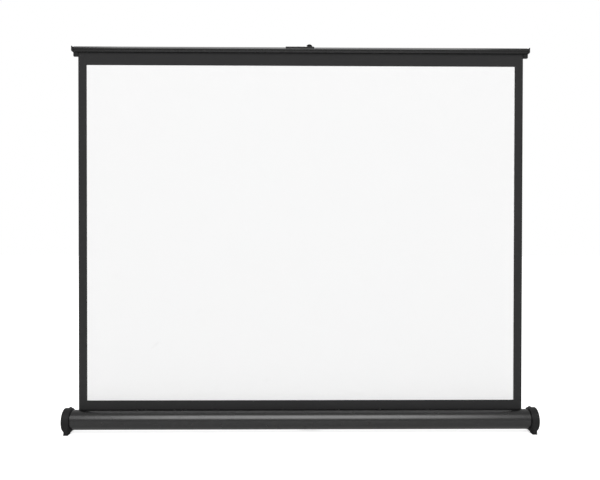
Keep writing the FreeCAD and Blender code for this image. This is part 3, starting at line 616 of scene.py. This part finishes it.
def recessed(profile, radius, depth):
    """A head's profile that ends in a round recess instead of a closed crown."""
    top = profile[-1][1]
    kept = [point for point in profile if point[0] > radius * RECESS_CLEAR_SHARE]
    return kept + [(radius * RECESS_MOUTH_SHARE, top), (radius, top - depth * RECESS_BEVEL_SHARE),
                   (radius * RECESS_FLOOR_SHARE, top - depth), (0, top - depth)]


def fastener_piece(node, places, axis, profile):
    """Replaces a node of fasteners by the turned profile, once at each place."""
    form = bmesh.new()
    for place in places:
        lathe(form, profile, place, axis)
    bmesh.ops.recalc_face_normals(form, faces=form.faces)
    mesh = mesh_from(form, node + "_finish")
    shade_by_angle(mesh, limit=30)
    finish_node(node, mesh, MATERIALS[node_slot(node)])


def make_bracket_screws():
    """The four small screws that hold the base bracket to the housing."""
    low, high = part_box("base_bracket_screws")
    head_radius = 3 * MM
    head_height = 0.7 * MM
    seat = high.y - head_height
    stem = shank(1.5 * MM, seat - low.y, tip_radius=1.2 * MM, chamfer=0.4 * MM)
    head = recessed(dome(head_radius, head_height, rim=0.25 * MM), radius=1.3 * MM, depth=0.6 * MM)
    places = [(x, seat, z) for x in (low.x + head_radius, high.x - head_radius)
              for z in (low.z + head_radius, high.z - head_radius)]
    fastener_piece("base_bracket_screws", places, (0, 1, 0), stem + head)


def make_leg_screw(side):
    """The shoulder screw that a rear leg swings on, with its head below."""
    node = "leg_screw_" + side
    low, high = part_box(node)
    middle = (low + high) / 2
    head_height = 1.7 * MM
    stem = shank(3 * MM, high.z - low.z - head_height, tip_radius=2.6 * MM, chamfer=0.4 * MM)
    head = recessed(dome(5 * MM, head_height, rim=0.9 * MM), radius=2.2 * MM, depth=1.2 * MM)
    fastener_piece(node, [(middle.x, middle.y, low.z + head_height)], (0, 0, -1), stem + head)


def make_bracket_rivets():
    """The two rivets that hold the bracket to the rail."""
    low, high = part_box("bracket_rivets")
    head_radius = 2.6 * MM
    head_height = 1.9 * MM
    seat = high.z - head_height
    stem = shank(1.25 * MM, seat - low.z, tip_radius=1 * MM, chamfer=0.3 * MM)
    head = dome(head_radius, head_height, rim=0.15 * MM) + [(0, head_height)]
    y = (low.y + high.y) / 2
    places = [(x, y, seat) for x in (low.x + head_radius, high.x - head_radius)]
    fastener_piece("bracket_rivets", places, (0, 0, 1), stem + head)


# Plain pieces

def dress_plain_nodes():
    """Gives every CAD solid that still shows the material of its slot."""
    for node, solid in nodes.items():
        if not solid.hide_render:
            solid.data.materials.clear()
            solid.data.materials.append(MATERIALS[node_slot(node)])


# Floor and light

FLOOR_HALF = 12
FLOOR_COLOR = (0.8, 0.8, 0.8, 1)


def seen_level(tree, plain, camera, gloss):
    """A level for what the camera sees, another for gloss, and the plain one for all other light."""
    path = tree.nodes.new("ShaderNodeLightPath")
    mirrored = tree.nodes.new("ShaderNodeMath")
    mirrored.operation = "MAXIMUM"
    tree.links.new(path.outputs["Is Glossy Ray"], mirrored.inputs[0])
    tree.links.new(path.outputs["Is Transmission Ray"], mirrored.inputs[1])
    level = plain
    for share, bright in ((mirrored.outputs[0], gloss), (path.outputs["Is Camera Ray"], camera)):
        blend = tree.nodes.new("ShaderNodeMapRange")
        tree.links.new(share, blend.inputs["Value"])
        set_input(tree, blend.inputs["To Min"], level)
        blend.inputs["To Max"].default_value = bright
        level = blend.outputs["Result"]
    return level


def make_floor():
    """A plain pale floor that looks white, yet keeps part of the shadows on it."""
    mesh = bpy.data.meshes.new("floor")
    corners = [(-FLOOR_HALF, -FLOOR_HALF, 0), (FLOOR_HALF, -FLOOR_HALF, 0),
               (FLOOR_HALF, FLOOR_HALF, 0), (-FLOOR_HALF, FLOOR_HALF, 0)]
    mesh.from_pydata(corners, [], [(0, 1, 2, 3)])
    floor = bpy.data.objects.new("floor", mesh)
    bpy.context.scene.collection.objects.link(floor)
    material = bpy.data.materials.new("floor")
    material.use_nodes = True
    tree = material.node_tree
    tree.nodes.clear()
    output = tree.nodes.new("ShaderNodeOutputMaterial")
    diffuse = tree.nodes.new("ShaderNodeBsdfDiffuse")
    diffuse.inputs["Color"].default_value = FLOOR_COLOR
    glow = tree.nodes.new("ShaderNodeEmission")
    tree.links.new(seen_level(tree, plain=0, camera=0.75, gloss=0.15), glow.inputs["Strength"])
    total = tree.nodes.new("ShaderNodeAddShader")
    tree.links.new(diffuse.outputs[0], total.inputs[0])
    tree.links.new(glow.outputs[0], total.inputs[1])
    tree.links.new(total.outputs[0], output.inputs["Surface"])
    mesh.materials.append(material)


def make_world():
    """Even light from all round, which looks white where it is seen."""
    world = bpy.data.worlds.new("studio")
    world.use_nodes = True
    bpy.context.scene.world = world
    tree = world.node_tree
    background = tree.nodes["Background"]
    background.inputs["Color"].default_value = (1, 1, 1, 1)
    tree.links.new(seen_level(tree, plain=0.43, camera=1, gloss=0.6), background.inputs["Strength"])


def add_lamp(name, place, target, width, height, power):
    """A soft box that faces the target."""
    data = bpy.data.lights.new(name, "AREA")
    data.shape = "RECTANGLE"
    data.size = width
    data.size_y = height
    data.energy = power
    lamp = bpy.data.objects.new(name, data)
    bpy.context.scene.collection.objects.link(lamp)
    lamp.location = place
    lamp.rotation_mode = "QUATERNION"
    lamp.rotation_quaternion = (Vector(target) - Vector(place)).to_track_quat("-Z", "Y")


def make_lights():
    """A broad soft box in front above the camera, and a small one behind above the rail."""
    add_lamp("key_box", (-0.1, -14, 12.6), target=(0, 0, 0.2), width=11.2, height=12.6, power=2136)
    add_lamp("top_box", (0, 0.9, 2.1), target=(0, 0, 0.7), width=1.4, height=0.6, power=14)


make_camera()
make_screen()
make_bracket_screws()
for screw_side in SIDES:
    make_leg_screw(screw_side)
make_bracket_rivets()
make_rounded_pieces()
dress_plain_nodes()
make_floor()
make_world()
make_lights()
bpy.context.scene.view_settings.view_transform = "Standard"
